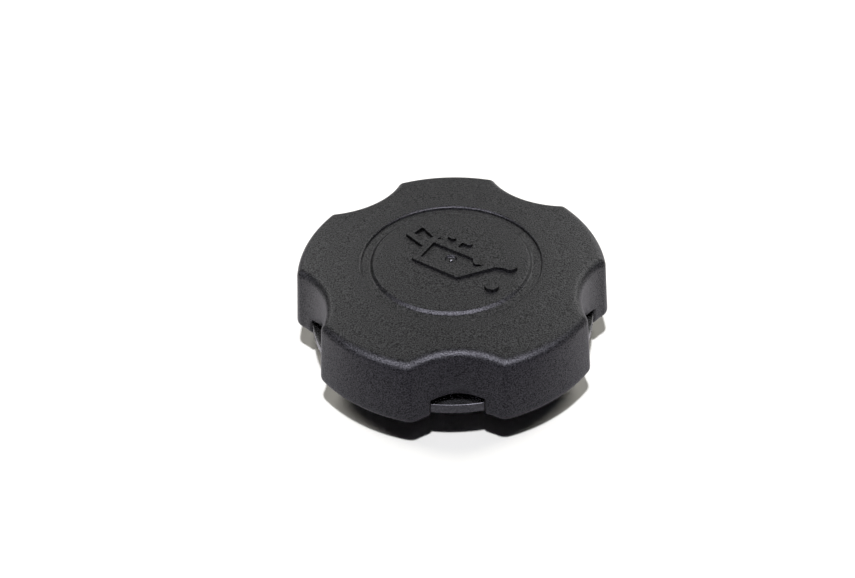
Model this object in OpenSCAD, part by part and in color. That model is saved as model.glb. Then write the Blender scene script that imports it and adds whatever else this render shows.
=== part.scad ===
// Engine oil filler cap: a five lobed moulded knob, a bayonet insert pressed into it from
// below, and a flat rubber seal round the insert's neck. The cap stands on the neck's end,
// with its axis on Z and one finger scallop facing -Y.

/* [Knob] */
// Number of grip lobes, with as many finger scallops between them
lobe_n = 5; // [4:1:6]
// Radius over the lobes at the skirt's lower edge
lobe_r = 32.1; // [30:0.1:38]
// How far each scallop reaches in from the lobe circle, at the lower edge
scallop_depth = 4.1; // [2.5:0.1:5]
// Radius of a scallop at the lower edge
scallop_r = 13.7; // [10:0.1:16]
// Height from the skirt's lower edge to the edge of the top face
skirt_h = 14.5; // [13:0.1:22]
// Draft of the outer wall, in degrees
draft = 5; // [0.5:0.5:6]
// Rounding between the outer wall and the top face
top_round = 1.9; // [0.8:0.1:2.4]
// Rounding along the skirt's lower edge
rim_round = 1.4; // [0.5:0.1:1.8]
// Rise of the domed top from its edge to its middle
dome_h = 1; // [0.5:0.1:2]
// Thickness of the skirt under its top rounding
skirt_wall = 2; // [1.6:0.1:2.6]
// Thickness of the top under its edge
top_t = 2.4; // [1.8:0.1:3]

/* [Ring groove] */
// Radius of the groove's outer wall
groove_r = 18.1; // [17:0.1:20]
// Width of the groove between its edges
groove_w = 2.2; // [1.4:0.1:3]
// Depth of the groove below the domed face
groove_depth = 0.55; // [0.3:0.05:0.9]
// How far the groove's inner wall slopes out on its way down
groove_slope = 0.4; // [0.1:0.05:0.6]

/* [Oil can mark] */
// Height of the raised mark above the middle of the top
mark_h = 0.5; // [0.2:0.05:0.8]
// Width of the mark's raised lines
mark_line = 1.5; // [1:0.1:1.8]
// Angle by which the mark is turned about the cap's axis
mark_turn = -32; // [-180:1:180]
// Radius of the oil drop
drop_r = 1.4; // [1.2:0.1:2]

/* [Gate scar] */
// Radius of the dimple round the gate scar
gate_r = 1.15; // [0.8:0.05:1.5]
// Depth of the dimple
gate_depth = 0.5; // [0.2:0.05:0.8]
// Radius of the scar's nub
gate_nub_r = 0.45; // [0.3:0.05:0.6]
// Height of the nub above the dimple's floor
gate_nub_h = 0.45; // [0.1:0.05:0.6]

/* [Windows and ribs] */
// Width of the window in the foot of each scallop
window_w = 10.4; // [8:0.1:11]
// Dark gap left over the tab that fills the window
window_gap = 0.9; // [0.4:0.1:1.4]
// How far a window's cut reaches past the wall behind a scallop
window_reach = 0.5; // [0.3:0.1:1]
// Outer radius of the ring rib that bears on the insert
rib_ring_r = 25; // [24.9:0.1:25.6]
// Thickness of the ring rib
rib_ring_t = 1.8; // [1.4:0.1:2.4]
// Thickness of the rib across each lobe
lobe_rib_t = 1.8; // [1.2:0.1:2.4]

/* [Snap beads] */
// How far each snap bead reaches under the insert's flange
snap_reach = 0.45; // [0.3:0.05:0.6]
// Height of a snap bead
snap_h = 0.8; // [0.6:0.05:0.9]
// Width of a snap bead, in degrees about the axis
snap_deg = 18; // [8:1:22]
// Gap between a snap bead and the flange
snap_gap = 0.05; // [0.02:0.01:0.1]

/* [Insert] */
// Height of the flange's underside above the skirt's lower edge
flange_up = 1.1; // [1:0.1:1.6]
// Thickness of the flange
flange_t = 2.2; // [1.6:0.1:3]
// Gap all round between the insert and the knob
insert_gap = 0.15; // [0.05:0.05:0.25]
// Outer radius of the neck
neck_r = 20; // [18:0.1:21]
// Wall thickness of the neck
neck_wall = 2.4; // [1.8:0.1:3]
// How far the neck's end stands below the skirt's lower edge
neck_drop = 4.2; // [3.6:0.1:8]
// Chamfer on the neck's end
neck_chamfer = 0.4; // [0.2:0.1:0.8]

/* [Bayonet lugs] */
// Number of lugs
lug_n = 2; // [2:1:3]
// How far each lug stands out from the neck
lug_reach = 2.2; // [1.5:0.1:2.6]
// Thickness of a lug
lug_h = 1.7; // [1.2:0.1:2]
// Width of a lug, in degrees about the axis
lug_deg = 48; // [30:1:60]

/* [Seal] */
// Gap between the seal and the neck
seal_gap = 0.15; // [0.05:0.05:0.3]
// Width of the seal's ring
seal_w = 5.2; // [4:0.1:6]
// Thickness of the seal
seal_t = 2; // [1.4:0.1:2.2]
// Least room between the seal's edge and the knob
seal_room_gap = 0.6; // [0.3:0.1:0.8]

/* [Hidden] */

$fn = 96;
// How far a cutting form reaches past the face that it opens
over = 1;
// How far the roundings of a scallop run out past the top and the foot
run_out = 0.12;
// Steps of a turned rounding, and of the domed face from its edge to the axis
round_steps = 6;
dome_steps = 8;

rim_z = neck_drop;
edge_z = rim_z + skirt_h;
apex_z = edge_z + dome_h;
flange_z = rim_z + flange_up;
flange_top_z = flange_z + flange_t;
window_z = flange_top_z + window_gap;
ceiling_z = edge_z - top_t;

lobe_step = 360 / lobe_n;
first_scallop = -90;
first_lobe = first_scallop + lobe_step / 2;
// A scallop is cut by a turned form whose own axis stands outside the knob
scallop_axis_r = lobe_r - scallop_depth + scallop_r;

// Radius over the lobes, and of a scallop, at a height on the drafted wall
function lobe_at(z) = lobe_r - (z - rim_z) * tan(draft);
function scallop_at(z) = scallop_r + (z - rim_z) * tan(draft);

// Middle of a rounding that touches the drafted wall, at a height. The wall lies outwards of
// it on a lobe, and towards the scallop's own axis on a scallop
function lobe_round_at(z, r) = [lobe_at(z) - r / cos(draft), z];
function scallop_round_at(z, r) = [scallop_at(z) + r / cos(draft), z];

round_z = edge_z - top_round;
face_r = lobe_round_at(round_z, top_round)[0];

// Height of the domed face at a distance from the axis
function face_z(r) = edge_z + dome_h * (1 - pow(r / face_r, 2));

cavity_r = lobe_at(round_z) - skirt_wall;
scallop_back_r = scallop_at(round_z) + skirt_wall;
rib_ring_in = rib_ring_r - rib_ring_t;
window_in = scallop_axis_r - scallop_back_r - window_reach;
flange_r = cavity_r - insert_gap;
tab_w = window_w - 2 * insert_gap;
seal_r = neck_r + seal_gap + seal_w;

// The mark's own frame has its can upright and the cap's axis at its origin
can_corner = [-6.15, 3.2];
can_base = [-6.15, -3.4];
can_foot = [3.9, -4.2];
can_shoulder = [4.4, 2.4];
spout_root = [5.3, 1.1];
spout_join = [8.75, 1.95];
spout_bend = [10.9, 2.75];
spout_end = [11.8, 2.6];
spout_lip = [12.3, 3.3];
handle = [[-6.15, 0.95], [-11.3, 2.75], [-10.65, 6.5], [-9.2, 6.1], [-5.9, 4.5]];
lid_stem = [[-0.95, 3.4], [-0.85, 5.2]];
lid_bar = [[-0.6, 5.55], [1.1, 5.6]];
lid_knob = [[-3.45, 5.85], [-2.75, 5.75]];
lid_line = 0.75 * mark_line;
drop_at = [11.25, -3.75];

// Copies of a form round the axis
module round_axis(n, first) {
    for (i = [0 : n - 1]) rotate(first + i * 360 / n) children();
}

// Wedge about the axis, centred on +X
module sector(r, h, angle) {
    linear_extrude(h)
        polygon([[0, 0], [2 * r * cos(angle / 2), -2 * r * sin(angle / 2)],
                 [2 * r * cos(angle / 2), 2 * r * sin(angle / 2)]]);
}

// Points of an arc, so that a turned rounding is a stack of short cones
function arc(middle, r, from, to) =
    [for (i = [0 : round_steps])
        middle + r * [cos(from + (to - from) * i / round_steps),
                      sin(from + (to - from) * i / round_steps)]];

// Half outline of the knob with its lobes all round, before the scallops are cut
module knob_profile() {
    rim_c = lobe_round_at(rim_z + rim_round, rim_round);
    top_c = lobe_round_at(round_z, top_round);
    dome = [for (i = [1 : dome_steps])
        let (r = face_r * (1 - i / dome_steps)) [r, face_z(r)]];
    polygon(concat([[0, rim_z]], arc(rim_c, rim_round, -90, draft),
                   arc(top_c, top_round, draft, 90), dome));
}

// Half outline, about the scallop's own axis, of the form that cuts a scallop. Its roundings
// leave those of the knob's top and foot, and run out just past both faces
module scallop_profile() {
    deep_r = scallop_axis_r - scallop_round_at(round_z, top_round)[0];
    rim_c = scallop_round_at(rim_z - run_out + rim_round, rim_round);
    top_c = scallop_round_at(face_z(deep_r) + run_out - top_round, top_round);
    polygon(concat([[0, rim_z - over], [rim_c[0], rim_z - over]],
                   arc(rim_c, rim_round, 270, 180 - draft),
                   arc(top_c, top_round, 180 - draft, 90),
                   [[top_c[0], apex_z + over], [0, apex_z + over]]));
}

module scallops() {
    round_axis(lobe_n, first_scallop)
        translate([scallop_axis_r, 0, 0]) rotate_extrude() scallop_profile();
}

// Hollow of the knob, with the backs of the scallops standing into it
module knob_hollow() {
    difference() {
        translate([0, 0, rim_z - over]) cylinder(r = cavity_r, h = ceiling_z - rim_z + over);
        round_axis(lobe_n, first_scallop)
            translate([scallop_axis_r, 0, 0]) cylinder(r = scallop_back_r, h = apex_z);
    }
}

// Openings in the feet of the scallops, where the insert's tabs show
module windows() {
    round_axis(lobe_n, first_scallop)
        translate([window_in, -window_w / 2, rim_z - over])
            cube([lobe_r - window_in, window_w, window_z - rim_z + over]);
}

// Ring rib and lobe ribs that bear on the insert's flange
module ribs() {
    h = ceiling_z - flange_top_z + top_t / 2;
    translate([0, 0, flange_top_z]) {
        difference() {
            cylinder(r = rib_ring_r, h = h);
            translate([0, 0, -over]) cylinder(r = rib_ring_in, h = h + 2 * over);
        }
        round_axis(lobe_n, first_lobe)
            translate([rib_ring_r - rib_ring_t / 2, -lobe_rib_t / 2, 0])
                cube([cavity_r - rib_ring_r + (rib_ring_t + skirt_wall) / 2, lobe_rib_t, h]);
    }
}

// A bead that the flange's edge snaps past: flat on top and sloped below
module snap_bead() {
    top_z = flange_z - snap_gap;
    back_r = cavity_r + skirt_wall / 2;
    front_r = flange_r - snap_reach;
    intersection() {
        rotate_extrude()
            polygon([[back_r, top_z], [front_r, top_z], [front_r, top_z - snap_h / 3],
                     [back_r, top_z - snap_h - skirt_wall / 4]]);
        translate([0, 0, rim_z]) sector(lobe_r, flange_up, snap_deg);
    }
}

module ring_groove() {
    in_r = groove_r - groove_w;
    floor_z = face_z(groove_r) - groove_depth;
    rotate_extrude()
        polygon([[in_r, face_z(in_r)], [in_r + groove_slope, floor_z], [groove_r, floor_z],
                 [groove_r, apex_z + over], [in_r, apex_z + over]]);
}

// One line of the mark, with round ends and corners
module stroke(points, w) {
    for (i = [0 : len(points) - 2]) {
        a = points[i];
        b = points[i + 1];
        translate(a) rotate(atan2(b[1] - a[1], b[0] - a[0]))
            translate([0, -w / 2]) square([norm(b - a), w]);
    }
    for (p = points) translate(p) circle(d = w, $fn = 24);
}

// Oil can with a handle, a lid and a spout, and a drop under the spout
module oil_can() {
    stroke([can_corner, can_shoulder, spout_root, spout_bend], mark_line);
    stroke([can_corner, can_base, can_foot, spout_join, spout_bend, spout_end, spout_lip], mark_line);
    stroke(handle, mark_line);
    stroke(lid_stem, lid_line);
    stroke(lid_bar, lid_line);
    stroke(lid_knob, lid_line);
    translate(drop_at) {
        circle(drop_r, $fn = 32);
        rotate(45) square(drop_r);
    }
}

// Room under the insert's flange, in which the seal lies clear of the knob
module seal_room() {
    translate([0, 0, rim_z - over]) cylinder(r = seal_r + seal_room_gap, h = flange_up + over);
}

module knob() {
    color([0.17, 0.17, 0.18]) {
        difference() {
            union() {
                difference() {
                    rotate_extrude() knob_profile();
                    knob_hollow();
                }
                ribs();
                round_axis(lobe_n, first_lobe) snap_bead();
            }
            scallops();
            ring_groove();
            windows();
            seal_room();
            translate([0, 0, apex_z - gate_depth]) cylinder(r = gate_r, h = gate_depth + over);
        }
        translate([0, 0, edge_z - top_t / 2]) rotate(mark_turn)
            linear_extrude(apex_z + mark_h - edge_z + top_t / 2) oil_can();
        translate([0, 0, edge_z - top_t / 2])
            cylinder(r = gate_nub_r, h = apex_z - gate_depth + gate_nub_h - edge_z + top_t / 2);
    }
}

// Cuts round the backs of the scallops that leave the insert's tabs standing
module scallop_notches() {
    translate([0, 0, flange_z]) round_axis(lobe_n, first_scallop) difference() {
        translate([scallop_axis_r, 0, 0])
            cylinder(r = scallop_back_r + insert_gap, h = flange_t + over);
        translate([0, -tab_w / 2, -over]) cube([lobe_r, tab_w, flange_t + 3 * over]);
    }
}

// Hollow neck, open at its lower end and closed by the flange
module neck() {
    in_r = neck_r - neck_wall;
    rotate_extrude()
        polygon([[in_r, 0], [neck_r - neck_chamfer, 0], [neck_r, neck_chamfer],
                 [neck_r, flange_z + flange_t / 2], [in_r, flange_z + flange_t / 2]]);
}

module lug() {
    out_r = neck_r + lug_reach;
    intersection() {
        rotate_extrude()
            polygon([[neck_r - neck_wall / 2, 0], [out_r - neck_chamfer, 0], [out_r, neck_chamfer],
                     [out_r, lug_h], [neck_r - neck_wall / 2, lug_h]]);
        sector(out_r, lug_h, lug_deg);
    }
}

module bayonet_insert() {
    color([0.25, 0.25, 0.26]) {
        // The flange fills the knob's hollow
        difference() {
            union() {
                translate([0, 0, flange_z]) cylinder(r = flange_r, h = flange_t);
                neck();
            }
            scallop_notches();
        }
        round_axis(lug_n, 0) lug();
    }
}

module seal_ring() {
    color([0.1, 0.1, 0.1]) translate([0, 0, flange_z - seal_t]) difference() {
        cylinder(r = seal_r, h = seal_t);
        translate([0, 0, -over]) cylinder(r = neck_r + seal_gap, h = seal_t + 2 * over);
    }
}

knob();
bayonet_insert();
seal_ring();
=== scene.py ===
# %% [markdown]
# # An oil filler cap
# The cap is a five lobed knob, moulded in black glass-filled nylon, with a second moulding
# pressed into it from below. The second one carries a bayonet neck and a flat rubber seal.
# The solids hold the sizes. This lesson gives them the roundings, the grain and the light
# that the photograph shows. Lengths are in millimetres until a mesh is made.

# %% Load the frame
import math

import bmesh
import bpy
import numpy as np
from mathutils import Matrix


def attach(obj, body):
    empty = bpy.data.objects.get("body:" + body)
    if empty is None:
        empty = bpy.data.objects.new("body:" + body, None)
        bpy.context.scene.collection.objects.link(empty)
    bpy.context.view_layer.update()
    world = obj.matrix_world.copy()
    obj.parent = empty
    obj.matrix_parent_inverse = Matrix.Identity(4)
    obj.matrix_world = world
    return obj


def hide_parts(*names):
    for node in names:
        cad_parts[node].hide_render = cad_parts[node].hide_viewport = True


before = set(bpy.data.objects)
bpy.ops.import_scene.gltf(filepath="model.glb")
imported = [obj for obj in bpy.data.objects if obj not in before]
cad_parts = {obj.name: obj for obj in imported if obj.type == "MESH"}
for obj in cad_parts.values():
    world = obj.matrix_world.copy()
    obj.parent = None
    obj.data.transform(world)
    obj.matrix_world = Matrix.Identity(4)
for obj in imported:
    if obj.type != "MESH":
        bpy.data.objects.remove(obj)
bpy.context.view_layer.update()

MM = 0.001
print("solids:", sorted(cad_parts))

# %% [markdown]
# ## The outline of the knob
# Seen from above the knob is a circle with five scallops. Each scallop is a round cut about
# an axis outside the knob, and a small arc rounds the corner between lobe and scallop. All
# three arcs could be drawn by hand as a polygon. It is better to work them out from their
# radii, because a mould has draft: every height needs the same outline, a little larger or
# smaller. An offset keeps the middles of the arcs and changes only their radii.

# %% Sizes of the knob
LOBES = 5
LOBE_R = 32.1
SCALLOP_R = 13.7
SCALLOP_AXIS = 41.7
CORNER_R = 2.8
DRAFT = math.radians(5)
FOOT_Z = 4.2
EDGE_Z = 18.7
DOME_H = 1.0
TOP_ROUND = 1.9
FOOT_ROUND = 1.4
WALL = 2.0
CEILING_Z = 16.3
WINDOW_W = 10.4
WINDOW_Z = 8.4
FIRST_SCALLOP = math.radians(-90)
print("circle round the lobes:", 2 * LOBE_R, "mm")

# Columns of the mesh, in the half of a scallop's sector that lies on one side of it
WINDOW_COLUMNS, SIDE_COLUMNS, CORNER_COLUMNS, LOBE_COLUMNS = 10, 14, 12, 24
# The least radius that an offset leaves to a corner
CORNER_LEAST = 0.08


# %% Outline worked out from arcs
def steps(count, last=False):
    """Even steps from 0 towards 1, with the 1 itself only if last is set."""
    return np.linspace(0, 1, count + 1)[: count + 1 if last else count]


def half_sector(offset, lobe_r=LOBE_R, scallop_r=SCALLOP_R, corner_r=CORNER_R):
    """Points from the middle of a scallop to the middle of a lobe, for each offset.

    The corner arc touches the lobe circle from inside and the scallop circle from outside.
    So its middle is lobe_r - corner_r from the cap's axis and scallop_r + corner_r from the
    scallop's, and the law of cosines gives its bearing. x points out through the scallop.
    """
    offset = np.atleast_1d(np.asarray(offset, float))[:, None]
    lobe, scallop = lobe_r + offset, scallop_r - offset
    corner = np.maximum(corner_r + offset, CORNER_LEAST)
    far, near = lobe - corner, scallop + corner
    bearing = np.arccos((SCALLOP_AXIS**2 + far**2 - near**2) / (2 * SCALLOP_AXIS * far))
    mid_x, mid_y = far * np.cos(bearing), far * np.sin(bearing)
    open_to = np.arctan2(mid_y, SCALLOP_AXIS - mid_x)
    window = np.arcsin(WINDOW_W / 2 / scallop)
    in_scallop = np.hstack([window * steps(WINDOW_COLUMNS),
                            window + (open_to - window) * steps(SIDE_COLUMNS)])
    in_corner = -open_to + (bearing + open_to) * steps(CORNER_COLUMNS)
    in_lobe = bearing + (math.pi / LOBES - bearing) * steps(LOBE_COLUMNS, last=True)
    x = np.hstack([SCALLOP_AXIS - scallop * np.cos(in_scallop),
                   mid_x + corner * np.cos(in_corner), lobe * np.cos(in_lobe)])
    y = np.hstack([scallop * np.sin(in_scallop),
                   mid_y + corner * np.sin(in_corner), lobe * np.sin(in_lobe)])
    return x, y


def outline(offset, **radii):
    """Closed outlines, one row for each offset: the half sector, mirrored and turned."""
    x, y = half_sector(offset, **radii)
    x = np.hstack([x[:, -2:0:-1], x])
    y = np.hstack([-y[:, -2:0:-1], y])
    turns = FIRST_SCALLOP + 2 * math.pi / LOBES * np.arange(LOBES)
    return (np.hstack([x * math.cos(a) - y * math.sin(a) for a in turns]),
            np.hstack([x * math.sin(a) + y * math.cos(a) for a in turns]))


HALF = WINDOW_COLUMNS + SIDE_COLUMNS + CORNER_COLUMNS + LOBE_COLUMNS + 1
SECTOR = 2 * HALF - 2
COLUMNS = LOBES * SECTOR
# Distance of each column from the middle of its scallop, counted in columns
from_scallop = np.abs(np.arange(COLUMNS) % SECTOR - (HALF - 2))
print("columns round the knob:", COLUMNS)

# %% [markdown]
# ## Meshes from grids
# Every surface here is a grid of points, with rows along a profile and columns round the
# axis. One helper joins neighbours into quads and leaves holes where a mask says so. The
# object stays at the origin and its place is in its mesh, as with the solids.


# %% Grid helper
def grid_faces(rows, columns, start=0, closed=True, keep=None):
    """Quads of a grid whose points are numbered row by row, for the cells in keep."""
    wide = columns if closed else columns - 1
    r, c = np.meshgrid(np.arange(rows - 1), np.arange(wide), indexing="ij")
    if keep is not None:
        r, c = r[keep], c[keep]
    r, c = r.ravel(), c.ravel()
    nxt = (c + 1) % columns
    quads = np.stack([r * columns + c, r * columns + nxt,
                      (r + 1) * columns + nxt, (r + 1) * columns + c], axis=1)
    return quads + start


def fan(first, second, pole):
    """Triangles from pairs of points to one pole, written as quads that repeat the pole."""
    return np.stack([first, second, 0 * first + pole, 0 * first + pole], axis=1)


def add_mesh(name, points, quads, smooth_below=40.0):
    """A mesh object from points in millimetres. Edges sharper than the angle stay sharp.

    A quad that repeats its last point is a triangle.
    """
    mesh = bpy.data.meshes.new(name)
    quads = np.asarray(quads, np.int32)
    double = quads[:, 2] == quads[:, 3]
    corners = np.concatenate([quads[~double].ravel(), quads[double][:, :3].ravel()])
    sizes = np.concatenate([np.full((~double).sum(), 4), np.full(double.sum(), 3)])
    mesh.vertices.add(len(points))
    mesh.vertices.foreach_set("co", (np.asarray(points, float) * MM).ravel())
    mesh.loops.add(len(corners))
    mesh.loops.foreach_set("vertex_index", corners.astype(np.int32))
    mesh.polygons.add(len(sizes))
    starts = np.concatenate([[0], sizes.cumsum()[:-1]])
    mesh.polygons.foreach_set("loop_start", starts.astype(np.int32))
    mesh.update(calc_edges=True)
    mesh.validate()
    mesh.polygons.foreach_set("use_smooth", np.ones(len(mesh.polygons), bool))
    mesh.set_sharp_from_angle(angle=math.radians(smooth_below))
    thing = bpy.data.objects.new(name, mesh)
    bpy.context.scene.collection.objects.link(thing)
    print(f"{name}: {len(points)} points, {len(sizes)} faces")
    return thing


# %% [markdown]
# ## The knob
# The skin starts inside the foot of the skirt, turns round the foot's edge, climbs the
# drafted wall, rolls over the top rounding and runs in across the domed face, down into the
# ring groove and the gate's dimple, to the axis. The inner skin climbs from the foot to the
# ceiling. At the foot of each scallop both skins leave out a window, and strips close its
# jambs and its lintel. A lathe would give none of this, because the outline isn't round; a
# boolean would, but its long thin triangles spoil the shading of a rounding.


# %% Domed face with its groove and dimple
FACE_R = LOBE_R - (EDGE_Z - TOP_ROUND - FOOT_Z) * math.tan(DRAFT) - TOP_ROUND / math.cos(DRAFT)
GROOVE_R, GROOVE_W, GROOVE_DEPTH, GROOVE_SLOPE = 18.1, 2.2, 0.55, 0.4
# The groove's outer edge rolls down over EDGE_ROLL and ends ROLL_IN inside the groove's radius
EDGE_ROLL, ROLL_IN = 0.5, 0.12
GATE_R, GATE_DEPTH, GATE_SLOPE, NUB_R, NUB_H = 1.15, 0.5, 0.35, 0.45, 0.45


def dome(r):
    """Height of the face: a parabola from the middle down to the edge."""
    return EDGE_Z + DOME_H * (1 - (r / FACE_R) ** 2)


def bend(radius, depth, r, steep):
    """Smooth step of a wall at a radius: 0 outside, depth inside, over the width steep."""
    t = np.clip((radius + steep / 2 - r) / steep, 0, 1)
    return depth * t * t * (3 - 2 * t)


def rolled_edge(radius, depth, r, width):
    """Quarter of an ellipse that rolls down from level to upright over a width at a radius."""
    t = np.clip((radius + width - r) / width, 0, 1)
    return depth * (1 - np.sqrt(1 - t * t))


def face_z(r):
    """Domed face less the ring groove and the dimple."""
    sunk = rolled_edge(GROOVE_R - ROLL_IN, GROOVE_DEPTH, r, EDGE_ROLL)
    sunk = sunk - bend(GROOVE_R - GROOVE_W, GROOVE_DEPTH, r, GROOVE_SLOPE + EDGE_ROLL)
    sunk = sunk + bend(GATE_R, GATE_DEPTH, r, GATE_SLOPE)
    return dome(r) - sunk


# Radii of the rings of the face, closer together at the groove's walls and the dimple
groove_in = GROOVE_R - GROOVE_W
face_radii = np.concatenate([
    GROOVE_R - ROLL_IN + EDGE_ROLL * (1 - np.sin(np.linspace(0, math.pi / 2, 14))),
    np.linspace(GROOVE_R - 0.3, groove_in + 0.8, 4),
    np.linspace(groove_in + 0.5, groove_in - 0.5, 16),
    np.linspace(groove_in - 1.2, GATE_R + 0.8, 12),
    np.linspace(GATE_R + 0.22, GATE_R - 0.22, 9),
    [0.7, 0.5]])
print("rings of the face:", len(face_radii))


# %% Outer skin of the knob
def wall_offset(z):
    """Offset of the drafted wall at a height, from the outline at the foot."""
    return -(z - FOOT_Z) * math.tan(DRAFT)


def rounding(middle_z, radius, start, end, count):
    """Offsets and heights along a rounding that touches the drafted wall."""
    a = np.linspace(start, end, count)
    middle = wall_offset(middle_z) - radius / math.cos(DRAFT)
    return middle + radius * np.cos(a), middle_z + radius * np.sin(a)


foot_off, foot_z = rounding(FOOT_Z + FOOT_ROUND, FOOT_ROUND, -math.pi / 2, DRAFT, 9)
# Rows of the wall: up to the window's top, close together over it, then wider apart
below_window = np.linspace(6.2, WINDOW_Z, 5)
wall_z = np.concatenate([below_window, WINDOW_Z + np.array([0.12, 0.25, 0.4, 0.6]),
                         np.linspace(WINDOW_Z + 0.95, 11.9, 8),
                         np.linspace(12.8, EDGE_Z - TOP_ROUND - 0.5, 5)])
WINDOW_ROW = len(foot_z) + len(below_window) - 1
# The rounding stops short of level, where it has the slope of the face's edge
ROLL_END = math.radians(86)
roll_off, roll_z = rounding(EDGE_Z - TOP_ROUND, TOP_ROUND, DRAFT, ROLL_END, 14)
row_off = np.concatenate([foot_off, wall_offset(wall_z), roll_off])
row_z = np.concatenate([foot_z, wall_z, roll_z])
skin_x, skin_y = outline(row_off)
edge_r = np.hypot(skin_x[-1], skin_y[-1])

# The face is higher where a scallop reaches in, so the rounding is lifted to meet it
LIFT_FROM = WINDOW_Z + 3
lift = dome(edge_r) - roll_z[-1]
share = np.clip((row_z - LIFT_FROM) / (roll_z[0] - LIFT_FROM), 0, 1)
skin_z = row_z[:, None] + share[:, None] * lift[None, :]
print("rows of the wall:", len(row_z), "lift up to", round(float(lift.max()), 3), "mm")

# %% Window lips
# Above a window the wall leans in over a scoop as wide as the window, and the jambs are eased
LIP_TOP, LIP_SIDE, LIP_DEPTH, LIP_EDGE = 3.4, 0.5, 0.85, 0.25


def lip_depth(across, z):
    """How far the wall leans in, from a point's distance across the scallop and its height.

    The scoop is (1 - d^2)^2 of the distance d from the window's top middle, measured in parts
    of its own half width and height: flat in the middle and flat again where it runs out. The
    easing is a quarter of an ellipse at the window's edge.
    """
    part = np.hypot(across / (WINDOW_W / 2 + LIP_SIDE), np.maximum(z - WINDOW_Z, 0) / LIP_TOP)
    scoop = LIP_DEPTH * (1 - np.clip(part, 0, 1) ** 2) ** 2
    beside = np.maximum(across - WINDOW_W / 2, 0) / LIP_SIDE
    above = np.maximum(z - WINDOW_Z, 0) / LIP_SIDE
    away = np.clip(np.hypot(beside, above), 0, 1)
    ease = LIP_EDGE * (1 - np.sqrt(1 - (1 - away) ** 2))
    return np.where(z < WINDOW_Z, ease, scoop + ease)


def across_scallop(x, y):
    """Distance of each point from its scallop's middle line, and that line's x and y."""
    a = FIRST_SCALLOP + 2 * math.pi / LOBES * (np.arange(COLUMNS) // SECTOR)
    return np.abs(y * np.cos(a) - x * np.sin(a)), np.cos(a), np.sin(a)


across, out_x, out_y = across_scallop(skin_x, skin_y)
rolled = lip_depth(across, skin_z)
skin_x = skin_x - rolled * out_x
skin_y = skin_y - rolled * out_y
print("lip rolled in by up to", round(float(rolled.max()), 2), "mm")

# %% Face from the rounding to the axis
unit_x, unit_y = skin_x[-1] / edge_r, skin_y[-1] / edge_r
run_in = np.linspace(0, 1, 11)[1:, None]
ring_r = np.vstack([edge_r + (face_radii[0] - edge_r) * run_in[:-1],
                    np.repeat(face_radii[:, None], COLUMNS, axis=1)])
nub_turn = np.radians([0, 18, 36, 54, 72])
nub_r = NUB_R * np.cos(nub_turn)
nub_z = dome(0) - GATE_DEPTH + NUB_H * np.sin(nub_turn)
ring_z = np.vstack([face_z(ring_r), np.repeat(nub_z[:, None], COLUMNS, axis=1)])
ring_r = np.vstack([ring_r, np.repeat(nub_r[:, None], COLUMNS, axis=1)])
print("rows from the rounding to the axis:", len(ring_r))

# %% Inner skin and ceiling
INNER_CORNER = 0.6
inner_lobe = LOBE_R + wall_offset(EDGE_Z - TOP_ROUND) - WALL
inner_scallop = SCALLOP_R - wall_offset(EDGE_Z - TOP_ROUND) + WALL
inner_x, inner_y = outline(0, lobe_r=inner_lobe, scallop_r=inner_scallop, corner_r=INNER_CORNER)
inner_z = np.concatenate([row_z[: WINDOW_ROW + 1], np.linspace(WINDOW_Z, CEILING_Z, 5)[1:]])
# The ceiling is three shrunken copies of the outline and a pole
inward = np.concatenate([np.ones(len(inner_z)), [0.8, 0.5, 0.2]])
inner_z = np.concatenate([inner_z, [CEILING_Z] * 3])
print("inside, over the lobes:", round(2 * inner_lobe, 2), "mm")

# %% Grids of the two skins
outer = np.stack([np.vstack([skin_x, ring_r * unit_x]), np.vstack([skin_y, ring_r * unit_y]),
                  np.vstack([skin_z, ring_z])], axis=-1)
inner = np.stack([inward[:, None] * inner_x, inward[:, None] * inner_y,
                  np.repeat(inner_z[:, None], COLUMNS, axis=1)], axis=-1)
beside_window = from_scallop <= WINDOW_COLUMNS
in_window = beside_window & np.roll(beside_window, -1)
print("grids:", outer.shape[:2], "outside,", inner.shape[:2], "inside")


def shut(rows):
    """Mask of a grid's cells that leaves out the windows at the feet of the scallops."""
    below = np.arange(rows - 1) < WINDOW_ROW
    return ~(below[:, None] & in_window[None, :])


def window_edges(first_row, number):
    """Point numbers up one jamb of a window, along its lintel and down the other jamb."""
    middle = number * SECTOR + HALF - 2
    left, right = middle - WINDOW_COLUMNS, middle + WINDOW_COLUMNS
    up = np.arange(WINDOW_ROW + 1) * COLUMNS
    over = WINDOW_ROW * COLUMNS + np.arange(left + 1, right)
    return first_row + np.concatenate([up + left, over, (up + right)[::-1]])


# %% Knob put together
inner_start = outer.shape[0] * COLUMNS
apex = inner_start + inner.shape[0] * COLUMNS
ceiling = apex + 1
knob_points = np.vstack([outer.reshape(-1, 3), inner.reshape(-1, 3),
                         [[0, 0, nub_z[0] + NUB_H], [0, 0, CEILING_Z]]])
around = np.arange(COLUMNS)
onward = (around + 1) % COLUMNS
foot = np.stack([around, around + inner_start, onward + inner_start, onward], axis=1)
last_ring, last_row = inner_start - COLUMNS, apex - COLUMNS
strips = []
for number in range(LOBES):
    a, b = window_edges(0, number), window_edges(inner_start, number)
    strips.append(np.stack([a[:-1], a[1:], b[1:], b[:-1]], axis=1))
knob_quads = np.vstack([
    grid_faces(outer.shape[0], COLUMNS, keep=shut(outer.shape[0])),
    grid_faces(inner.shape[0], COLUMNS, inner_start, keep=shut(inner.shape[0]))[:, ::-1],
    foot[~in_window], *strips,
    fan(last_ring + around, last_ring + onward, apex),
    fan(last_row + onward, last_row + around, ceiling)])


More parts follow.
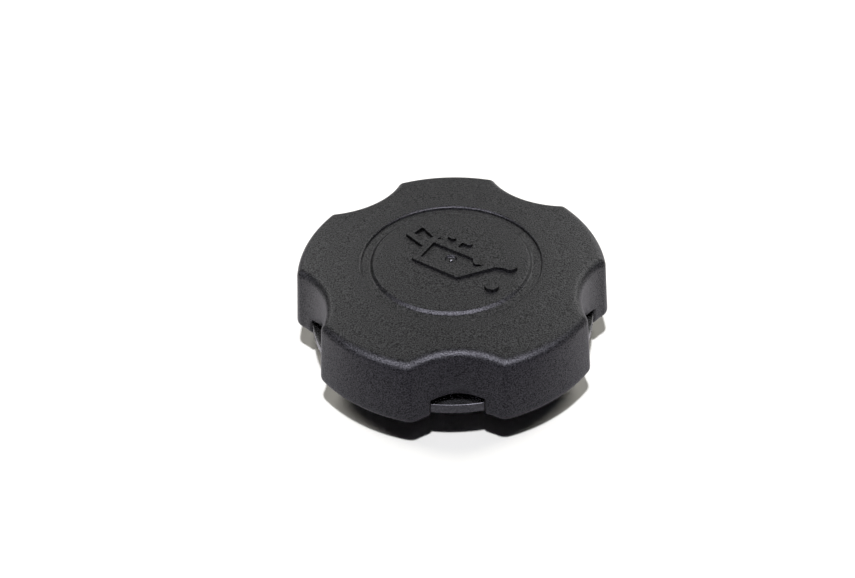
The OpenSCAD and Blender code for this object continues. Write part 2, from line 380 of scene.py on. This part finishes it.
def face_outwards(thing):
    """Turns the faces of a closed shell outwards. Prints its open edges and its volume."""
    work = bmesh.new()
    work.from_mesh(thing.data)
    bmesh.ops.recalc_face_normals(work, faces=work.faces)
    loose = sum(not e.is_manifold for e in work.edges)
    volume = work.calc_volume(signed=True) * 1e9
    work.to_mesh(thing.data)
    work.free()
    print(f"{thing.name}: {loose} open edges, {volume:.0f} mm3")
    return thing


knob = face_outwards(add_mesh("knob_shell", knob_points, knob_quads))

# %% [markdown]
# ## Ribs and snap beads inside the knob
# A ring and five radial ribs hang from the ceiling and hold the insert down. In each lobe a
# bead juts out of the skirt, flat above and sloped below, so that the insert's flange snaps
# past it once and stays. A solid block would be simpler, but a moulding with even walls
# cools without sink marks. The ring and the beads are turned profiles, made by one lathe
# helper, and the radial ribs are boxes.


# %% Lathe helper
def lathe(profile, start=0.0, end=360.0, count=120):
    """Points and quads of a profile of (radius, height) pairs turned from start to end.

    The profile is closed and runs counter-clockwise, with the radius to the right. A part
    turn gets its two ends closed by a fan round the profile's first point.
    """
    profile = np.asarray(profile, float)
    whole = end - start >= 360
    a = np.radians(np.linspace(start, end, count, endpoint=not whole))
    r, z = profile[:, :1], profile[:, 1:]
    points = np.stack([r * np.cos(a), r * np.sin(a), np.repeat(z, count, axis=1)], axis=-1)
    rows = len(profile)
    quads = grid_faces(rows, count, closed=whole)
    last = (rows - 1) * count
    c = np.arange(count if whole else count - 1)
    n = (c + 1) % count
    quads = np.vstack([quads, np.stack([last + c, last + n, n, c], axis=1)])
    if not whole:
        k = np.arange(1, rows - 1)
        for column in (0, count - 1):
            end_face = np.stack([0 * k, k, k + 1, k + 1], axis=1) * count + column
            quads = np.vstack([quads, end_face])
    return points.reshape(-1, 3), quads


def rounded(corners, radius, count=4):
    """Polygon with each corner turned into a conic that starts radius away from it.

    With the weight w = cos 45 degrees the conic at a right angle is a true quarter circle.
    """
    corners = np.asarray(corners, float)
    before = np.roll(corners, 1, axis=0) - corners
    after = np.roll(corners, -1, axis=0) - corners
    before = corners + radius * before / np.linalg.norm(before, axis=1)[:, None]
    after = corners + radius * after / np.linalg.norm(after, axis=1)[:, None]
    t = np.linspace(0, 1, count)[None, :, None]
    w = math.sqrt(0.5)
    mix = (1 - t) ** 2 + 2 * w * t * (1 - t) + t**2
    curve = (1 - t) ** 2 * before[:, None] + 2 * w * t * (1 - t) * corners[:, None]
    return ((curve + t**2 * after[:, None]) / mix).reshape(-1, 2)


def join(*blocks):
    """One list of points and one of quads from several."""
    offsets = np.cumsum([0] + [len(points) for points, quads in blocks[:-1]])
    return (np.vstack([points for points, quads in blocks]),
            np.vstack([quads + o for (points, quads), o in zip(blocks, offsets)]))


# %% Ribs and beads
RIB_Z, RIB_OUT, RIB_IN, RIB_T = 7.5, 25.0, 23.2, 1.8
SNAP_R, SNAP_TOP, SNAP_H, SNAP_DEG = 28.398, 5.25, 0.8, 18.0
FIRST_LOBE, PITCH = -54, 360 // LOBES
# How far a rib runs into the ceiling or wall, and how far a bead or a rib's root does
SINK, ROOT = 0.2, 0.3


def box(x0, x1, y0, y1, z0, z1, angle):
    """Closed box between two corners, turned about the axis by an angle in degrees."""
    x, y, z = np.meshgrid([x0, x1], [y0, y1], [z0, z1], indexing="ij")
    a = math.radians(angle)
    points = np.stack([x * math.cos(a) - y * math.sin(a),
                       x * math.sin(a) + y * math.cos(a), z], axis=-1)
    quads = [[0, 1, 3, 2], [4, 6, 7, 5], [0, 4, 5, 1], [2, 3, 7, 6], [0, 2, 6, 4], [1, 5, 7, 3]]
    return points.reshape(-1, 3), np.array(quads)


rib_top = CEILING_Z + SINK
inside = [lathe([[RIB_IN, RIB_Z], [RIB_OUT, RIB_Z], [RIB_OUT, rib_top], [RIB_IN, rib_top]])]
bead = [[SNAP_R, SNAP_TOP - SNAP_H / 2], [inner_lobe + ROOT, SNAP_TOP - 1.5 * SNAP_H],
        [inner_lobe + ROOT, SNAP_TOP], [SNAP_R, SNAP_TOP]]
for number in range(LOBES):
    lobe = FIRST_LOBE + PITCH * number
    inside.append(box(RIB_OUT - ROOT, inner_lobe + SINK, -RIB_T / 2, RIB_T / 2,
                      RIB_Z, rib_top, lobe))
    inside.append(lathe(bead, lobe - SNAP_DEG / 2, lobe + SNAP_DEG / 2, 13))
ribs = face_outwards(add_mesh("knob_ribs", *join(*inside)))

# %% [markdown]
# ## The oil can on the face
# The pictogram stands half a millimetre above the face. Its strokes are capsules: every point
# within half a line's width of a line. The distance to the nearest stroke gives the height in
# one formula, with a small rounding at the top and bottom of its wall, and strokes that meet
# blend without a seam. Joining bars with booleans would leave a sliver at every crossing.

# %% Strokes of the oil can, in the mark's own frame
MARK_LINE, MARK_H, MARK_TURN = 1.5, 0.5, math.radians(-32)
LID_LINE = 0.75 * MARK_LINE
can_corner, can_base = [-6.15, 3.2], [-6.15, -3.4]
can_foot, can_shoulder = [3.9, -4.2], [4.4, 2.4]
spout_root, spout_join = [5.3, 1.1], [8.75, 1.95]
spout_bend, spout_end, spout_lip = [10.9, 2.75], [11.8, 2.6], [12.3, 3.3]
handle = [[-6.15, 0.95], [-11.3, 2.75], [-10.65, 6.5], [-9.2, 6.1], [-5.9, 4.5]]
lid = [[[-0.95, 3.4], [-0.85, 5.2]], [[-0.6, 5.55], [1.1, 5.6]], [[-3.45, 5.85], [-2.75, 5.75]]]
strokes = [
    (MARK_LINE, [can_corner, can_shoulder, spout_root, spout_bend]),
    (MARK_LINE, [can_corner, can_base, can_foot, spout_join, spout_bend, spout_end, spout_lip]),
    (MARK_LINE, handle), *((LID_LINE, line) for line in lid)]
DROP_AT, DROP_R = np.array([11.25, -3.75]), 1.4
print("strokes of the oil can:", len(strokes))


# %% Distance to the strokes
def to_segment(x, y, a, b):
    """Distance of each point from the segment between a and b."""
    ax, ay = a
    dx, dy = b[0] - ax, b[1] - ay
    t = np.clip(((x - ax) * dx + (y - ay) * dy) / (dx * dx + dy * dy), 0, 1)
    return np.hypot(x - ax - t * dx, y - ay - t * dy)


def mark_distance(x, y):
    """Distance outside the mark's outline, negative inside it."""
    away = np.full(np.shape(x), 99.0)
    for width, line in strokes:
        for a, b in zip(line[:-1], line[1:]):
            away = np.minimum(away, to_segment(x, y, a, b) - width / 2)
    # The drop is a circle with the corner of a square on top
    u, v = x - DROP_AT[0], y - DROP_AT[1]
    away = np.minimum(away, np.hypot(u, v) - DROP_R)
    half = DROP_R / 2
    p, q = (u + v) / math.sqrt(2), (v - u) / math.sqrt(2)
    square = np.maximum(np.abs(p - half), np.abs(q - half)) - half
    return np.minimum(away, square)


# %% Raised pictogram
CELL, MARK_ROUND = 0.06, 0.04
# The mark's skirt starts just under the face, and its shell goes deeper, so that no gap shows
MARK_SINK, MARK_ROOT = 0.03, 0.15
mark_x = np.arange(-13.2, 14.2, CELL)
mark_y = np.arange(-6.4, 8.0, CELL)
gx, gy = np.meshgrid(mark_x, mark_y)
gap = mark_distance(gx, gy)
rise = np.clip((MARK_ROUND - gap) / (2 * MARK_ROUND), 0, 1)
rise = rise * rise * (3 - 2 * rise)
ca, sa = math.cos(MARK_TURN), math.sin(MARK_TURN)
px, py = gx * ca - gy * sa, gx * sa + gy * ca
ground = dome(np.hypot(px, py))
low = ground - MARK_SINK
top = low + (dome(0) + MARK_H - low) * rise
in_reach = gap < MARK_ROUND + CELL
cells = in_reach[:-1, :-1] & in_reach[1:, 1:] & in_reach[1:, :-1] & in_reach[:-1, 1:]
print("cells of the pictogram:", int(cells.sum()))


def closed_patch(upper, lower, keep):
    """Shell of the kept cells of a height field: its top, its bottom and walls between."""
    rows, columns = upper.shape[:2]
    up = grid_faces(rows, columns, closed=False, keep=keep)
    edge = np.pad(keep, 1)
    quads = [up, up[:, ::-1] + rows * columns]
    # Sides of a cell: its quad's corners, and the neighbour that would hide the wall
    for first, second, dr, dc in ((0, 1, -1, 0), (1, 2, 0, 1), (2, 3, 1, 0), (3, 0, 0, -1)):
        bare = ~edge[1 + dr: edge.shape[0] - 1 + dr, 1 + dc: edge.shape[1] - 1 + dc][keep]
        a, b = up[bare, first], up[bare, second]
        quads.append(np.stack([b, a, a + rows * columns, b + rows * columns], axis=1))
    points = np.vstack([upper.reshape(-1, 3), lower.reshape(-1, 3)])
    quads = np.vstack(quads)
    used, quads = np.unique(quads, return_inverse=True)
    return points[used], quads.reshape(-1, 4)


mark_top = np.stack([px, py, top], axis=-1)
mark_low = np.stack([px, py, ground - MARK_ROOT], axis=-1)
mark = face_outwards(add_mesh("knob_mark", *closed_patch(mark_top, mark_low, cells)))

# %% [markdown]
# ## The insert
# A flat flange closes the knob from below. It has a tab in each window, which keeps the two
# mouldings from turning, and a notch round the back of each scallop. Under it stands the neck
# with two lugs that lock in the filler. The flange's outline is given as a radius for each
# bearing, so the same columns run from its rim to the neck and on to the axis.

# %% Sizes of the insert
FLANGE_Z, FLANGE_TOP, FLANGE_R = 5.3, 7.5, 28.848
TAB_W, NOTCH_R = 10.1, 16.952
NECK_R, NECK_IN, NECK_CHAMFER, NECK_FILLET, EDGE_R = 20.0, 17.6, 0.4, 0.25, 0.2
LUG_R, LUG_H, LUG_DEG, LUG_ROOT = 22.2, 1.7, 48.0, 0.4
print("neck:", 2 * NECK_R, "mm across,", FLANGE_Z, "mm long")


# %% Outline of the flange
def arc(cx, cy, r, start, end, count):
    """Points along an arc, angles in radians."""
    a = np.linspace(start, end, count)
    return np.stack([cx + r * np.cos(a), cy + r * np.sin(a)], axis=1)


tab_end = math.asin(TAB_W / 2 / FLANGE_R)
notch_in = math.asin(TAB_W / 2 / NOTCH_R)
notch_out = math.acos((SCALLOP_AXIS**2 + NOTCH_R**2 - FLANGE_R**2) / (2 * SCALLOP_AXIS * NOTCH_R))
lobe_at = math.acos((SCALLOP_AXIS**2 + FLANGE_R**2 - NOTCH_R**2) / (2 * SCALLOP_AXIS * FLANGE_R))
half_flange = np.vstack([
    arc(0, 0, FLANGE_R, 0.0, tab_end, 9),
    arc(SCALLOP_AXIS, 0, NOTCH_R, math.pi - notch_in, math.pi - notch_out, 14),
    arc(0, 0, FLANGE_R, lobe_at, math.pi / LOBES, 14)[1:]])
half_flange = np.vstack([half_flange[:0:-1] * [1, -1], half_flange])[:-1]
turns = FIRST_SCALLOP + 2 * math.pi / LOBES * np.arange(LOBES)
flange = np.vstack([np.stack([half_flange[:, 0] * math.cos(a) - half_flange[:, 1] * math.sin(a),
                              half_flange[:, 0] * math.sin(a) + half_flange[:, 1] * math.cos(a)], 1)
                    for a in turns])
print("points round the flange:", len(flange))


def inset(loop, amount):
    """Closed outline moved in by an amount along the normals of its points."""
    ahead = np.roll(loop, -1, axis=0) - loop
    ahead = ahead / np.maximum(np.linalg.norm(ahead, axis=1)[:, None], 1e-9)
    behind = np.roll(ahead, 1, axis=0)
    along = ahead + behind
    along = along / np.maximum(np.linalg.norm(along, axis=1)[:, None], 1e-9)
    stretch = 1 / np.clip((along * ahead).sum(axis=1), 0.5, 1)
    normal = np.stack([-along[:, 1], along[:, 0]], axis=1)
    return loop + normal * (amount * stretch)[:, None]


# %% Insert put together
bearing = np.arctan2(flange[:, 1], flange[:, 0])
edge_turn = np.linspace(0, math.pi / 2, 4)
insert_rows = [(flange * share, FLANGE_TOP) for share in (0.02, 0.4, 0.8)]
edge_in, edge_up = EDGE_R * (1 - np.sin(edge_turn)), EDGE_R * (1 - np.cos(edge_turn))
insert_rows += [(inset(flange, a), FLANGE_TOP - b) for a, b in zip(edge_in, edge_up)]
insert_rows += [(inset(flange, b), FLANGE_Z + a) for a, b in zip(edge_in, edge_up)]
insert_rows += [(r * np.stack([np.cos(bearing), np.sin(bearing)], axis=1), z) for r, z in (
    (NECK_R + NECK_FILLET, FLANGE_Z), (NECK_R, FLANGE_Z - NECK_FILLET), (NECK_R, NECK_CHAMFER),
    (NECK_R - NECK_CHAMFER, 0.0), (NECK_IN + EDGE_R, 0.0), (NECK_IN, EDGE_R),
    (NECK_IN, FLANGE_Z - EDGE_R), (NECK_IN - EDGE_R, FLANGE_Z), (0.4, FLANGE_Z))]
plan = np.stack([row for row, z in insert_rows])
height = np.repeat([[z] for row, z in insert_rows], len(flange), axis=1)
body_points = np.dstack([plan, height]).reshape(-1, 3)
n_rows, n_cols = height.shape
column = np.arange(n_cols)
after = (column + 1) % n_cols
last_row, pole = (n_rows - 1) * n_cols, len(body_points)
body_quads = np.vstack([grid_faces(n_rows, n_cols), fan(after, column, pole),
                        fan(last_row + column, last_row + after, pole + 1)])
body_points = np.vstack([body_points, [[0, 0, FLANGE_TOP], [0, 0, FLANGE_Z]]])
lug = rounded([[NECK_R - LUG_ROOT, 0.05], [LUG_R, 0.0],
               [LUG_R, LUG_H], [NECK_R - LUG_ROOT, LUG_H]], EDGE_R)
lugs = [lathe(lug, at - LUG_DEG / 2, at + LUG_DEG / 2, 40) for at in (0, 180)]
insert = face_outwards(add_mesh("insert_moulding", *join((body_points, body_quads), *lugs)))

# %% [markdown]
# ## The seal
# A flat rubber ring lies under the flange and is pressed on the filler's rim. Its edges are a
# little round, as on any ring cut or moulded from rubber.

# %% Seal ring
SEAL_IN, SEAL_OUT, SEAL_LOW, SEAL_TOP = 20.15, 25.35, 3.3, 5.3
seal_profile = rounded([[SEAL_IN, SEAL_LOW], [SEAL_OUT, SEAL_LOW],
                        [SEAL_OUT, SEAL_TOP], [SEAL_IN, SEAL_TOP]], 0.25)
seal = face_outwards(add_mesh("rubber_seal", *lathe(seal_profile, count=160)))

# %% Pieces tied to the frame
for piece, node, finish in ((knob, "knob", "knob_nylon"), (ribs, None, "knob_nylon"),
                            (mark, None, "knob_nylon"),
                            (insert, "bayonet_insert", "insert_nylon"),
                            (seal, "seal_ring", "seal_rubber")):
    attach(piece, "root")
    if node:
        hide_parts(node)
    print(piece.name, "has the finish", finish)

# %% [markdown]
# ## Materials
# Glass-filled nylon from a spark-eroded mould is a dull black with a fine, even grain. The
# plastic itself is almost black, and the grey that the eye sees is light on its skin. A real
# grain is about a tenth of a millimetre wide, which is finer than a pixel here, so it is drawn
# at a quarter of a millimetre, a little over a pixel. Strong bump at that size would only act
# as more roughness, so the strength of the reflection varies with the grain instead, over a
# light bump. The skin is smooth where the sprue was cut off and on the pictogram's sides.


# %% Material helpers
def linear(code):
    """Linear colour of an sRGB hex code such as '1a1a1c'."""
    srgb = np.array([int(code[i:i + 2], 16) for i in (0, 2, 4)]) / 255
    line = np.where(srgb <= 0.04045, srgb / 12.92, ((srgb + 0.055) / 1.055) ** 2.4)
    return (*[float(v) for v in line], 1.0)


def node(tree, kind, inputs=None, **settings):
    """Adds a node. Inputs are values or sockets to link, settings are its properties."""
    made = tree.nodes.new(kind)
    for key, value in settings.items():
        setattr(made, key, value)
    for key, value in (inputs or {}).items():
        if isinstance(value, bpy.types.NodeSocket):
            tree.links.new(value, made.inputs[key])
        else:
            made.inputs[key].default_value = value
    return made


CLOUD_MM, CLOUD_SHARE = 9.0, 0.25
ROUGH_SPREAD = 0.05
SCAR_ROUGH, SCAR_SHINE = 0.25, 0.65
UPRIGHT = 0.75
# Nearly all of a noise lies between these two values
NOISE = {"From Min": 0.3, "From Max": 0.7}


def moulded(name, dark, light, grain_mm, bump_mm, rough, specular, spread,
            scar_mm=0.0, side_rough=None):
    """A moulded surface: colour between two shades, grain of a size and depth in mm.

    spread is the part by which the grain weakens and strengthens the reflection. Within
    scar_mm of the axis the surface was cut from its sprue, so there it shines. side_rough is
    the roughness of sides whose normal rises less than UPRIGHT, as a cutter leaves them.
    """
    material = bpy.data.materials.new(name)
    material.use_nodes = True
    tree = material.node_tree
    tree.nodes.clear()
    place = node(tree, "ShaderNodeTexCoord").outputs["Object"]
    grain = node(tree, "ShaderNodeTexNoise", {
        "Vector": place, "Scale": 1 / (grain_mm * MM), "Detail": 1.0,
        "Roughness": 0.5}).outputs["Fac"]
    cloud = node(tree, "ShaderNodeTexNoise", {
        "Vector": place, "Scale": 1 / (CLOUD_MM * MM), "Detail": 2.0,
        "Roughness": 0.5}).outputs["Fac"]
    fine = node(tree, "ShaderNodeMath", {0: grain, 1: 1 - CLOUD_SHARE}, operation="MULTIPLY")
    level = node(tree, "ShaderNodeMath", {0: cloud, 1: CLOUD_SHARE, 2: fine.outputs[0]},
                 operation="MULTIPLY_ADD").outputs[0]
    shade = node(tree, "ShaderNodeMapRange", {"Value": level, **NOISE})
    colour = node(tree, "ShaderNodeMix", {0: shade.outputs[0], 6: linear(dark), 7: linear(light)},
                  data_type="RGBA")
    dull = node(tree, "ShaderNodeMapRange", {
        "Value": level, **NOISE, "To Min": rough - ROUGH_SPREAD,
        "To Max": rough + ROUGH_SPREAD}).outputs[0]
    shine = node(tree, "ShaderNodeMapRange", {
        "Value": grain, **NOISE, "To Min": specular * (1 - spread),
        "To Max": specular * (1 + spread)}).outputs[0]
    bump = node(tree, "ShaderNodeBump", {"Height": grain, "Strength": 1.0,
                                         "Distance": bump_mm * MM})
    if scar_mm:
        level_place = node(tree, "ShaderNodeVectorMath", {0: place, 1: (1.0, 1.0, 0.0)},
                           operation="MULTIPLY")
        from_axis = node(tree, "ShaderNodeVectorMath", {0: level_place.outputs[0]},
                         operation="LENGTH")
        cut = node(tree, "ShaderNodeMath", {0: from_axis.outputs["Value"], 1: scar_mm * MM},
                   operation="LESS_THAN").outputs[0]
        dull = node(tree, "ShaderNodeMath", {0: cut, 1: SCAR_ROUGH - rough, 2: dull},
                    operation="MULTIPLY_ADD").outputs[0]
        shine = node(tree, "ShaderNodeMath", {0: cut, 1: SCAR_SHINE, 2: shine},
                     operation="MULTIPLY_ADD").outputs[0]
    if side_rough:
        normal = node(tree, "ShaderNodeNewGeometry").outputs["True Normal"]
        up = node(tree, "ShaderNodeSeparateXYZ", {"Vector": normal}).outputs["Z"]
        side = node(tree, "ShaderNodeMath", {0: up, 1: UPRIGHT}, operation="LESS_THAN")
        dull = node(tree, "ShaderNodeMath", {0: side.outputs[0], 1: side_rough - rough, 2: dull},
                    operation="MULTIPLY_ADD").outputs[0]
    shader = node(tree, "ShaderNodeBsdfPrincipled", {
        "Base Color": colour.outputs[2], "Roughness": dull, "Specular IOR Level": shine,
        "IOR": 1.5, "Normal": bump.outputs[0]})
    node(tree, "ShaderNodeOutputMaterial", {"Surface": shader.outputs[0]})
    print(name, "with", len(tree.nodes), "nodes")
    return material


# %% Materials of the three parts
GRAIN_MM = 0.26
# Glass-filled nylon, spark-eroded mould: a dull black that catches light in points
knob_nylon = moulded("glass_filled_nylon", "080808", "121212", GRAIN_MM, 0.05, 0.40, 0.35, 0.75,
                     scar_mm=0.5)
# The same nylon in the mark, cut into the mould: its smooth sides stay black from above
mark_nylon = moulded("engraved_nylon", "080808", "121212", GRAIN_MM, 0.02, 0.40, 0.35, 0.75,
                     side_rough=0.12)
# Unfilled nylon, polished mould: an even, glossier black whose tabs catch a pale light
insert_nylon = moulded("smooth_nylon", "0e0e0e", "141414", 0.8, 0.004, 0.26, 0.7, 0.2)
# Nitrile rubber, pressed: a soft, dusty black with almost no shine
seal_rubber = moulded("nitrile_rubber", "131313", "1a1a1a", 0.5, 0.01, 0.6, 0.40, 0.3)
for piece, material in ((knob, knob_nylon), (ribs, knob_nylon), (mark, mark_nylon),
                        (insert, insert_nylon), (seal, seal_rubber)):
    piece.data.materials.clear()
    piece.data.materials.append(material)

# %% [markdown]
# ## Floor and light
# The photograph shows the cap on plain white, with a sharp black shadow right under its
# skirt, so a small lamp hangs almost straight above. Pale ends of the shadow at the left and
# right come from two softer lamps, high up behind the cap on both sides. The greys of the
# black body come from reflectors round the table. One soft box would give neither the sharp
# edge nor these reflections, so here the lamps light the floor and the reflectors, which are
# soft patches of the world, are seen only by rays that a surface reflects.

# %% White floor
SPAN = 3000.0
WHITE = 0.97
corners = [[-SPAN, -SPAN, 0], [SPAN, -SPAN, 0], [SPAN, SPAN, 0], [-SPAN, SPAN, 0]]
floor = add_mesh("floor", corners, [[0, 1, 2, 3]])
# Painted reflection of the table: bright round the cap, and a painted shade, bluer and dimmer,
# towards the camera, where the table lies in the shade. These two depths are where it changes.
SHADE_Y, LIT_Y = -60, -12
SHADE, LIT = (0.38, 0.36, 0.50, 1.0), (0.92, 0.90, 0.98, 1.0)
paper = bpy.data.materials.new("white_paper")
paper.use_nodes = True
tree = paper.node_tree
tree.nodes.clear()
floor_place = node(tree, "ShaderNodeTexCoord").outputs["Object"]
depth = node(tree, "ShaderNodeSeparateXYZ", {"Vector": floor_place}).outputs["Y"]
lit_part = node(tree, "ShaderNodeMapRange", {"Value": depth, "From Min": SHADE_Y * MM,
                                             "From Max": LIT_Y * MM})
table = node(tree, "ShaderNodeMix", {0: lit_part.outputs[0], 6: SHADE, 7: LIT}, data_type="RGBA")
floor_rays = node(tree, "ShaderNodeLightPath")
# Reflecting rays see the painted shade, all other rays see plain white
tone = node(tree, "ShaderNodeMix", {
    0: floor_rays.outputs["Is Glossy Ray"], 6: (WHITE, WHITE, WHITE, 1.0), 7: table.outputs[2]},
    data_type="RGBA")
matt = node(tree, "ShaderNodeBsdfDiffuse", {"Color": tone.outputs[2]})
node(tree, "ShaderNodeOutputMaterial", {"Surface": matt.outputs[0]})
floor.data.materials.append(paper)

# %% World, white to the camera and soft to the surfaces
world = bpy.data.worlds.new("studio")
bpy.context.scene.world = world
world.use_nodes = True
tree = world.node_tree
tree.nodes.clear()
rays = node(tree, "ShaderNodeLightPath")
way = node(tree, "ShaderNodeTexCoord").outputs["Generated"]


def direction(azimuth, elevation):
    """Unit vector towards a bearing and a height above the horizon, both in degrees."""
    a, e = math.radians(azimuth), math.radians(elevation)
    return math.cos(a) * math.cos(e), math.sin(a) * math.cos(e), math.sin(e)


def patch(azimuth, elevation, inner, outer, level):
    """Soft round patch of a level about a direction, from its full inner to its outer angle."""
    towards = node(tree, "ShaderNodeVectorMath", {0: way, 1: direction(azimuth, elevation)},
                   operation="DOT_PRODUCT")
    return node(tree, "ShaderNodeMapRange", {
        "Value": towards.outputs["Value"], "From Min": math.cos(math.radians(outer)),
        "From Max": math.cos(math.radians(inner)), "To Max": level},
        interpolation_type="SMOOTHSTEP").outputs[0]


def patches(base, spots):
    """Sum of an even level and several patches."""
    total = base
    for spot in spots:
        total = node(tree, "ShaderNodeMath", {0: total, 1: patch(*spot)},
                     operation="ADD").outputs[0]
    return total


# Reflectors behind the cap are neutral, those in front of it stand in a bluer light
FRONT_TINT = (0.90, 0.88, 1.04)
behind = patches(0.03, [(50, 12, 4, 34, 0.9), (45, 42, 4, 34, 1.5), (90, 24, 2, 22, 0.4),
                        (60, 36, 2, 22, 1.6), (119, 38, 2, 22, 3.6)])
before = patches(0.0, [(225, 42, 4, 34, 7.8), (315, 42, 4, 34, 4.6), (270, 62, 2, 22, 9.2),
                       (294, 45, 2, 22, 8.3)])
blue = node(tree, "ShaderNodeVectorMath", {0: FRONT_TINT, "Scale": before}, operation="SCALE")
both = node(tree, "ShaderNodeVectorMath", {0: blue.outputs[0], 1: behind}, operation="ADD")
gloss = node(tree, "ShaderNodeVectorMath", {
    0: both.outputs[0], "Scale": rays.outputs["Is Glossy Ray"]}, operation="SCALE")
shown = node(tree, "ShaderNodeVectorMath", {
    0: gloss.outputs[0], 1: rays.outputs["Is Camera Ray"]}, operation="MAXIMUM")
sky = node(tree, "ShaderNodeBackground", {"Color": shown.outputs[0], "Strength": 1.0})
node(tree, "ShaderNodeOutputWorld", {"Surface": sky.outputs[0]})
print("nodes of the world:", len(tree.nodes))


# %% Lamp helpers
def aim(thing, place, target):
    """Puts a lamp at a place in millimetres and turns its -Z towards the target."""
    place, target = np.array(place, float) * MM, np.array(target, float) * MM
    back = (place - target) / np.linalg.norm(place - target)
    side = np.cross([0.0, 1.0, 0.0] if abs(back[2]) > 0.95 else [0.0, 0.0, 1.0], back)
    side = side / np.linalg.norm(side)
    turn = np.stack([side, np.cross(back, side), back], axis=1)
    matrix = np.eye(4)
    matrix[:3, :3], matrix[:3, 3] = turn, place
    thing.matrix_world = Matrix(matrix.tolist())


def sun(name, place, share, width, colour=(1.0, 1.0, 1.0)):
    """A lamp far off at a place, aimed at the cap, that lights the floor by a share of white.

    A sun of strength pi straight above makes a white floor white, and a lower one is weakened
    by the sine of its height. width is its size in degrees. Reflecting rays don't see it.
    """
    light = bpy.data.lights.new(name, "SUN")
    height = place[2] / math.hypot(*place)
    light.energy = math.pi * share / WHITE / height
    light.angle, light.color = math.radians(width), colour
    thing = bpy.data.objects.new(name, light)
    bpy.context.scene.collection.objects.link(thing)
    thing.visible_glossy = False
    aim(thing, place, (0, 0, 0))
    print(f"{name}: strength {light.energy:.3f}")
    return thing


# %% Lamps
TOP_SHARE, SIDE_SHARE, SIDE_UP, FAR = 0.8, 0.25, 46, 900
WARM = (1.0, 0.97, 0.88)
overhead = sun("overhead_lamp", (0, -20, 1000), TOP_SHARE, 5)
for name, azimuth in (("left_lamp", 142), ("right_lamp", 38)):
    sun(name, [FAR * part for part in direction(azimuth, SIDE_UP)], SIDE_SHARE, 30, WARM)

# %% [markdown]
# ## Camera
# The camera was solved from the photograph: the scallop corners, the ring, the lower edge and
# the shadow fix its distance, height, roll and lens. A guess by eye would be out by a few
# pixels at the rim. The principal point is the picture's middle, so no shift is needed.

# %% Camera solved from the photograph
WIDTH, HEIGHT = 855, 578
FOCAL_PX, DISTANCE, SENSOR_MM = 1279.7, 255.9, 36.0
ELEVATION, ROLL, TURN = math.radians(38.842), math.radians(1.270), math.radians(-1.236)
# The pixel where the middle of the face shows, and the height of that middle in the fit
SEEN_AT, AIM_Z = (451.202, 263.167), 18.6


def about_z(angle):
    """Matrix that turns about Z."""
    c, s = math.cos(angle), math.sin(angle)
    return np.array([[c, -s, 0], [s, c, 0], [0, 0, 1]])


def swing_to(ray):
    """Least turn that takes Z to a unit ray.

    It is I + K + K^2 / (1 + ray_z), where K is the matrix of the cross product with Z x ray.
    """
    v = np.cross([0.0, 0.0, 1.0], ray)
    cross = np.array([[0, -v[2], v[1]], [v[2], 0, -v[0]], [-v[1], v[0], 0]])
    return np.eye(3) + cross + cross @ cross / (1 + ray[2])


# Rows of axes are the camera's right, up and forward. It first faces the middle of the face,
# rolls, and swings until that middle shows at its pixel. Then all turns about the cap's axis.
axes = np.array([[1.0, 0.0, 0.0], [0.0, math.sin(ELEVATION), math.cos(ELEVATION)],
                 [0.0, math.cos(ELEVATION), -math.sin(ELEVATION)]])
look = np.array([SEEN_AT[0] - WIDTH / 2, HEIGHT / 2 - SEEN_AT[1], FOCAL_PX])
look = look / np.linalg.norm(look)
axes = swing_to(look) @ about_z(ROLL) @ axes
place = about_z(TURN) @ (np.array([0.0, 0.0, AIM_Z]) - DISTANCE * (axes.T @ look))
axes = axes @ about_z(TURN).T
matrix = np.eye(4)
matrix[:3, 0], matrix[:3, 1], matrix[:3, 2] = axes[0], axes[1], -axes[2]
matrix[:3, 3] = place * MM
camera_data = bpy.data.cameras.new("camera")
camera_data.sensor_width = SENSOR_MM
camera_data.lens = FOCAL_PX * SENSOR_MM / WIDTH
camera_data.clip_start, camera_data.clip_end = 0.01, 20.0
camera = bpy.data.objects.new("camera", camera_data)
bpy.context.scene.collection.objects.link(camera)
camera.matrix_world = Matrix(matrix.tolist())
bpy.context.scene.camera = camera
bpy.context.scene.view_settings.view_transform = "Standard"
print("camera at", np.round(place, 1), "lens", round(camera_data.lens, 2), "mm")

# %% Scene finished
bpy.context.view_layer.update()
